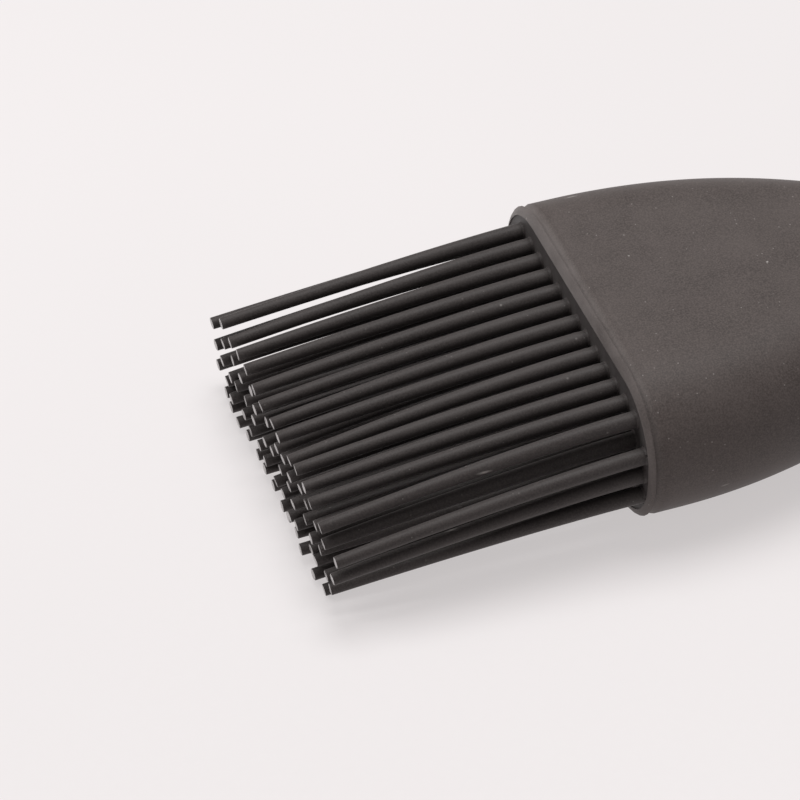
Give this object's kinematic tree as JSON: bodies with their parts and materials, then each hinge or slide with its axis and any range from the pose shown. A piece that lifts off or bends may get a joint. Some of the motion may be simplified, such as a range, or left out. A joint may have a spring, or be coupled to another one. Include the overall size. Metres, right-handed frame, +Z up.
{
  "type": "bee brush",
  "caption": "Soft silicone bee brush: wide flat head with rows of straight silicone bristles, pull-off head, soft-grip handle and lined hang hole.",
  "frame": {"origin": "centre of the whole brush in X and Y, on the surface that it lies on", "axes": "+X along the brush from the bristle tips to the hang hole, +Y across its width, +Z up through its thickness"},
  "size_m": [0.21, 0.0434, 0.0188],
  "materials": {
    "head_silicone": "matte soft silicone",
    "pad_silicone": "matte soft silicone",
    "bristle_silicone": "satin silicone",
    "stiffener_nylon": "matte moulded nylon",
    "handle_nylon": "matte moulded nylon",
    "collar_plastic": "polished moulded plastic",
    "grip_rubber": "matte soft-touch rubber",
    "eyelet_steel": "brushed"
  },
  "bodies": {
    "handle": {"handle_core": "handle_nylon", "collar": "collar_plastic", "grip_sleeve": "grip_rubber", "tail_cap": "handle_nylon", "hang_eyelet": "eyelet_steel"},
    "head": {"head_sleeve": "head_silicone", "head_core": "stiffener_nylon", "bristle_pad": "pad_silicone"},
    "bristles_1": {"bristle_row_1": "bristle_silicone"},
    "bristles_2": {"bristle_row_2": "bristle_silicone"},
    "bristles_3": {"bristle_row_3": "bristle_silicone"},
    "bristles_4": {"bristle_row_4": "bristle_silicone"},
    "bristles_5": {"bristle_row_5": "bristle_silicone"}
  },
  "joints": [
    {"name": "head_pull_off", "type": "slide", "parent": "handle", "child": "head", "axis": [-1, 0, 0], "range_m": [0, 0.036]},
    {"name": "bristle_bend_1", "type": "hinge", "parent": "head", "child": "bristles_1", "pos_m": [-0.0695, 0, 0.015], "axis": [0, 1, 0], "range_deg": [-35, 35], "stiffness_Nm_per_rad": 0.003, "springref_deg": 3.78},
    {"name": "bristle_bend_2", "type": "hinge", "parent": "head", "child": "bristles_2", "pos_m": [-0.0695, 0, 0.0122], "axis": [0, 1, 0], "range_deg": [-35, 35], "stiffness_Nm_per_rad": 0.003, "springref_deg": 3.78},
    {"name": "bristle_bend_3", "type": "hinge", "parent": "head", "child": "bristles_3", "pos_m": [-0.0695, 0, 0.0094], "axis": [0, 1, 0], "range_deg": [-35, 35], "stiffness_Nm_per_rad": 0.003, "springref_deg": 3.78},
    {"name": "bristle_bend_4", "type": "hinge", "parent": "head", "child": "bristles_4", "pos_m": [-0.0695, 0, 0.0066], "axis": [0, 1, 0], "range_deg": [-35, 35], "stiffness_Nm_per_rad": 0.003, "springref_deg": 3.78},
    {"name": "bristle_bend_5", "type": "hinge", "parent": "head", "child": "bristles_5", "pos_m": [-0.0695, 0, 0.0038], "axis": [0, 1, 0], "range_deg": [-35, 35], "stiffness_Nm_per_rad": 0.003, "springref_deg": 3.78}
  ],
  "couplings": [
    {"joint": "bristle_bend_2", "follows": "bristle_bend_1", "ratio": 1},
    {"joint": "bristle_bend_3", "follows": "bristle_bend_1", "ratio": 1},
    {"joint": "bristle_bend_4", "follows": "bristle_bend_1", "ratio": 1},
    {"joint": "bristle_bend_5", "follows": "bristle_bend_1", "ratio": 1}
  ]
}
